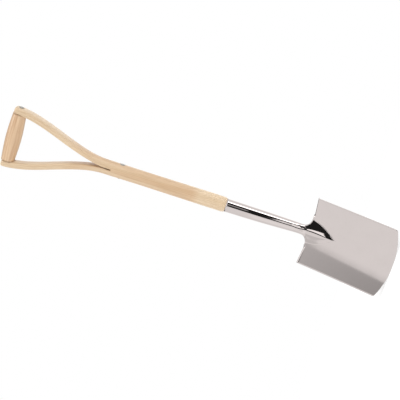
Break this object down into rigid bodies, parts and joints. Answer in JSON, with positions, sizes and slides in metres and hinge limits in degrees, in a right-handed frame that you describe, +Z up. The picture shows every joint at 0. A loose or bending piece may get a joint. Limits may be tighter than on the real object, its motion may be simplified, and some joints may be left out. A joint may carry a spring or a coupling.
{
  "type": "digging spade",
  "caption": "Digging spade with a split wooden Y handle, a turned cross grip, a tapered steel socket and a slightly dished rectangular blade with a curved edge.",
  "frame": {"origin": "the middle of the grip's underside, where a wall peg bears when the spade hangs by its grip", "axes": "+Z up the shaft, from the blade towards the grip. The front of the blade faces -Y. +X is to the right when the front is seen with the grip uppermost."},
  "size_m": [0.1892, 0.0838, 1.0495],
  "materials": {
    "ash_wood": "sanded and clear varnished, fine straight grain",
    "grip_wood": "turned and clear varnished, a little darker than the shaft",
    "polished_stainless": "mirror-polished stainless steel with a warm tint",
    "rivet_steel": "dull steel"
  },
  "bodies": {
    "root": {"shaft": "ash_wood", "grip": "grip_wood", "grip_rod": "rivet_steel", "grip_washer_left": "rivet_steel", "grip_washer_right": "rivet_steel", "throat_rivet": "rivet_steel", "throat_washer_left": "rivet_steel", "throat_washer_right": "rivet_steel", "blade_head": "polished_stainless", "socket_rivet": "rivet_steel"}
  },
  "joints": []
}
